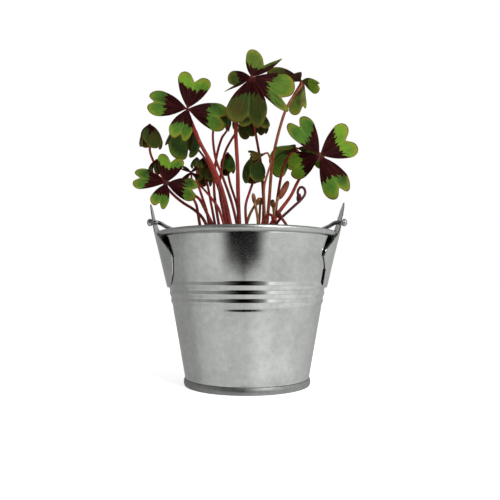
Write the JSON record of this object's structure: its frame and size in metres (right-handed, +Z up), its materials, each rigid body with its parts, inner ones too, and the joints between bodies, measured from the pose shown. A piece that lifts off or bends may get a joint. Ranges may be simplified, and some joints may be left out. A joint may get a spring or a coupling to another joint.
{
  "type": "potted four-leaf clover",
  "caption": "Clover-like plant with notched four-part leaves on slender red stems, growing in a small zinc bucket with a swinging wire handle.",
  "frame": {"origin": "on the table under the middle of the bucket", "axes": "+Z up, the front of the plant looks to -Y, the bucket's two ears lie on X"},
  "size_m": [0.1224, 0.1008, 0.1863],
  "materials": {
    "zinc": "satin",
    "wire": "satin",
    "soil": "matte",
    "stem_red": "satin",
    "leaf_green": "matte",
    "leaf_dark": "matte",
    "young_shoot": "matte"
  },
  "bodies": {
    "pot": {"bucket_body": "zinc", "bucket_base": "zinc", "ear_right": "zinc", "ear_left": "zinc", "soil": "soil", "stem_upper_left": "stem_red", "leaf_upper_left": "leaf_green", "stem_lower_left": "stem_red", "leaf_lower_left": "leaf_green", "stem_right": "stem_red", "leaf_right": "leaf_green", "stem_top": "stem_red", "leaf_top": "leaf_green", "stem_behind_upper_left": "stem_red", "leaf_behind_upper_left": "leaf_dark", "stem_top_right": "stem_red", "leaf_top_right": "leaf_dark", "stem_under_top": "stem_red", "leaf_under_top": "leaf_dark", "stem_nodding": "stem_red", "leaf_nodding": "leaf_dark", "stem_far_left": "stem_red", "leaf_far_left": "leaf_dark", "stem_behind_lower_left": "stem_red", "leaf_behind_lower_left": "leaf_dark", "stem_behind_right_of_upper_left": "stem_red", "leaf_behind_right_of_upper_left": "leaf_dark", "stem_behind_top_left": "stem_red", "leaf_behind_top_left": "leaf_dark", "stem_behind_top": "stem_red", "leaf_behind_top": "leaf_dark", "stem_low_left": "stem_red", "leaf_low_left": "leaf_dark", "stem_low_middle": "stem_red", "leaf_low_middle": "leaf_dark", "stem_low_right": "stem_red", "leaf_low_right": "leaf_dark", "stem_young_left": "stem_red", "leaf_young_left": "leaf_dark", "stem_young_left_back": "stem_red", "leaf_young_left_back": "leaf_dark", "stem_young_middle": "stem_red", "leaf_young_middle": "young_shoot", "shoot_folded": "young_shoot", "shoot_curled": "stem_red", "shoot_pink": "young_shoot", "shoot_ochre": "young_shoot", "shoot_back_left": "young_shoot", "shoot_back_right": "young_shoot", "shoot_hooked": "stem_red", "shoot_short": "stem_red"},
    "bail": {"bail": "wire"}
  },
  "joints": [
    {"name": "bail_swing", "type": "hinge", "parent": "pot", "child": "bail", "pos_m": [0, 0, 0.09], "axis": [1, 0, 0], "range_deg": [0, 60]}
  ]
}
